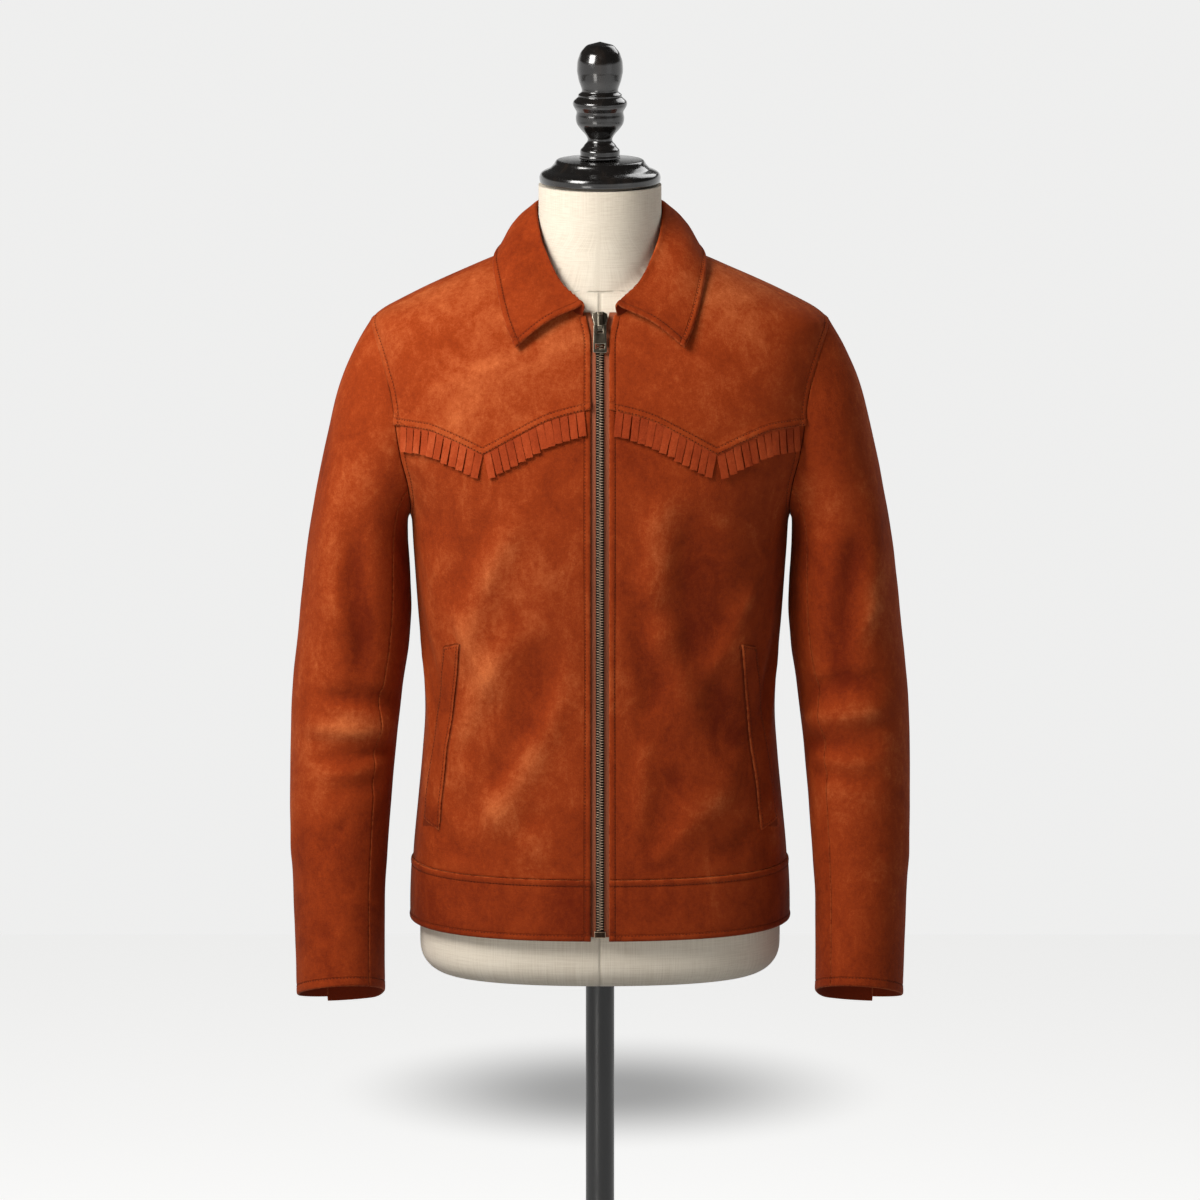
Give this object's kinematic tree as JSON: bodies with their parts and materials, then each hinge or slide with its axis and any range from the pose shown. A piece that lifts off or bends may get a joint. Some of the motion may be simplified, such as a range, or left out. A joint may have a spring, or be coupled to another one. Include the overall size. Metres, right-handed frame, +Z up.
{
  "type": "suede jacket on dress form",
  "caption": "Zip-front suede jacket with a pointed, fringed yoke, spread collar and waistband, standing on a limbless linen dress form with a round base.",
  "frame": {"origin": "on the floor under the centre of the stand's round base", "axes": "+Z up, -Y is the jacket's front, +X the wearer's left"},
  "size_m": [0.621, 0.38, 1.7115],
  "materials": {
    "suede": "rust-orange suede with a short nap",
    "suede_fringe": "the same suede, cut in strands",
    "zip_tape": "woven brown tape",
    "antique_brass": "aged, satin",
    "linen": "cream linen over a hard form",
    "black_lacquer": "turned, glossy black",
    "black_enamel": "satin black"
  },
  "bodies": {
    "main": {"front_right": "suede", "yoke_right": "suede", "waistband_front_right": "suede", "pocket_welt_right": "suede", "fringe_right": "suede_fringe", "topsleeve_right": "suede", "undersleeve_right": "suede", "zip_tape_right": "zip_tape", "front_left": "suede", "yoke_left": "suede", "waistband_front_left": "suede", "pocket_welt_left": "suede", "fringe_left": "suede_fringe", "topsleeve_left": "suede", "undersleeve_left": "suede", "zip_tape_left": "zip_tape", "back": "suede", "waistband_back": "suede", "collar": "suede", "zip_chain": "antique_brass", "zip_box": "antique_brass", "zip_slider": "antique_brass", "form_torso": "linen", "neck_cap": "black_lacquer", "finial": "black_lacquer", "stand_pole": "black_enamel", "stand_base": "black_enamel"},
    "pull": {"zip_pull": "antique_brass"}
  },
  "joints": [
    {"name": "zip_pull_swing", "type": "hinge", "parent": "main", "child": "pull", "pos_m": [0, -0.08846, 1.44073], "axis": [-1, 0, 0], "range_deg": [0, 160]}
  ]
}
